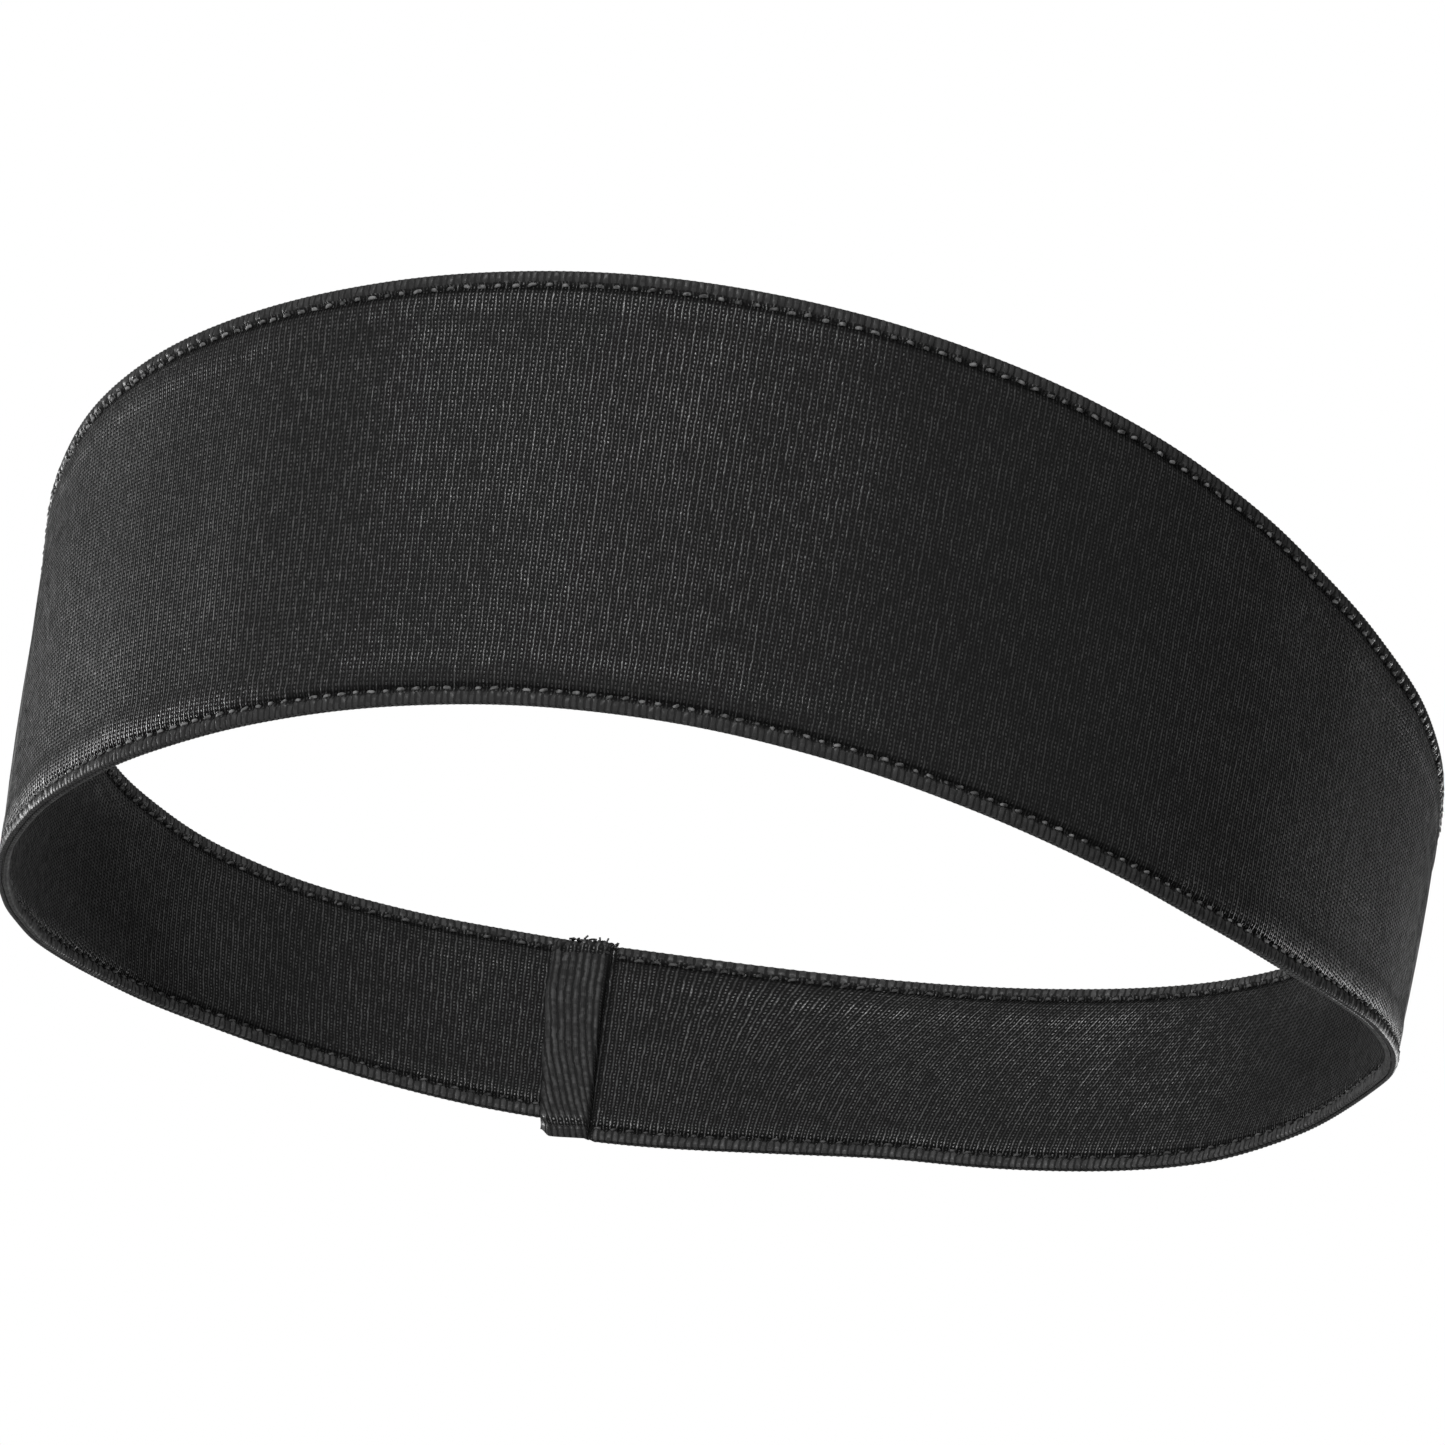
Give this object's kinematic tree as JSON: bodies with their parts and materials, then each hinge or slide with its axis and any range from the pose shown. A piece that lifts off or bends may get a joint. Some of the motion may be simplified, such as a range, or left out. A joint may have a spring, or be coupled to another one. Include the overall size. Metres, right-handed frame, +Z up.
{
  "type": "sports headband",
  "caption": "Wide self-lined loop of dark stretch knit, tall at the forehead and narrow at the nape, worn round the head to hold hair and sweat back.",
  "frame": {"origin": "middle of the head opening: half way between the forehead and the back of the loop, on its middle line, at mid height", "axes": "+Z up along the opening's axis, towards the crown of the head; -Y towards the forehead, where the band is widest; +X to the wearer's left"},
  "size_m": [0.169, 0.1796, 0.0525],
  "materials": {
    "knit_cloth": "matt charcoal black stretch knit with fine upright ribs and a faint sheen",
    "knit_lining": "matt charcoal black stretch knit, the same cloth on the side against the head",
    "sewing_thread": "dark grey polyester thread with a soft lustre"
  },
  "bodies": {
    "root": {"outer_panel": "knit_cloth", "inner_panel": "knit_lining", "back_seam_flap": "knit_lining", "upper_closing_seam": "sewing_thread", "lower_closing_seam": "sewing_thread", "upper_needle_topstitch": "sewing_thread", "lower_needle_topstitch": "sewing_thread", "upper_bobbin_topstitch": "sewing_thread", "lower_bobbin_topstitch": "sewing_thread", "back_seam_thread": "sewing_thread"}
  },
  "joints": []
}
